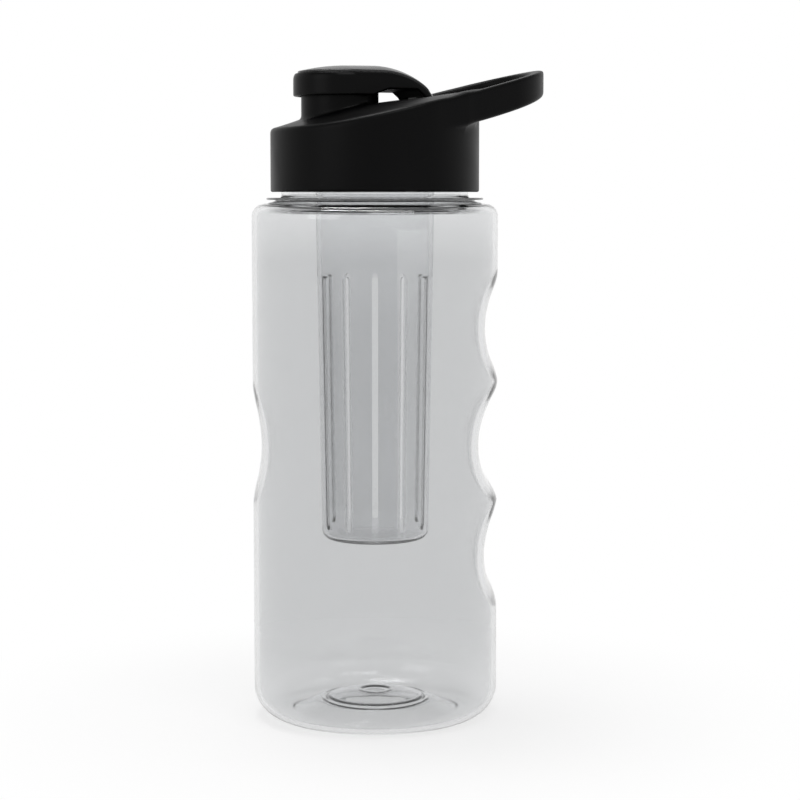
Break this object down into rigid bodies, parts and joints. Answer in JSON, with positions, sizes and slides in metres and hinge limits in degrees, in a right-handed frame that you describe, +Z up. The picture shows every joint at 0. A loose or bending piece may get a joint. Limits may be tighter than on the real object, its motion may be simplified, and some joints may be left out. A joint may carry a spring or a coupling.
{
  "type": "infuser water bottle",
  "caption": "Clear drinking bottle with finger grips, a screw lid with carry loop and flip cap over the spout, and a slotted infuser basket hung from the lid.",
  "frame": {"origin": "middle of the foot ring, on the surface that the bottle stands on", "axes": "+Z up along the bottle's axis, +X towards the lid's carry loop"},
  "size_m": [0.0962, 0.079, 0.2098],
  "materials": {
    "clear_bottle": "clear, faintly smoke-grey blown copolyester with a gloss surface",
    "black_lid": "fine-textured matte black moulded polypropylene",
    "black_cap": "satin black moulded polypropylene",
    "black_panel": "satin black moulded panel",
    "silicone": "soft translucent grey silicone",
    "steel_pin": "drawn stainless steel",
    "frosted_basket": "translucent frosted copolyester"
  },
  "bodies": {
    "bottle": {"bottle": "clear_bottle"},
    "gasket": {"lid_gasket": "silicone"},
    "lid": {"lid_body": "black_lid", "hinge_pin": "steel_pin"},
    "cap": {"flip_cap": "black_cap", "cap_panel": "black_panel", "spout_seal": "silicone"},
    "basket": {"infuser_basket": "frosted_basket"}
  },
  "joints": [
    {"name": "lid_lift", "type": "slide", "parent": "bottle", "child": "gasket", "axis": [0, 0, 1], "range_m": [0, 0.0053]},
    {"name": "lid_turn", "type": "hinge", "parent": "gasket", "child": "lid", "pos_m": [0, 0, 0.18711], "axis": [0, 0, 1], "range_deg": [0, 450]},
    {"name": "cap_hinge", "type": "hinge", "parent": "lid", "child": "cap", "pos_m": [0.0149, 0, 0.20001], "axis": [0, 1, 0], "range_deg": [0, 115]},
    {"name": "basket_pull", "type": "slide", "parent": "lid", "child": "basket", "axis": [0, 0, -1], "range_m": [0, 0.009]}
  ],
  "couplings": [
    {"joint": "lid_lift", "follows": "lid_turn", "m_per_rad": 0.0006737}
  ]
}
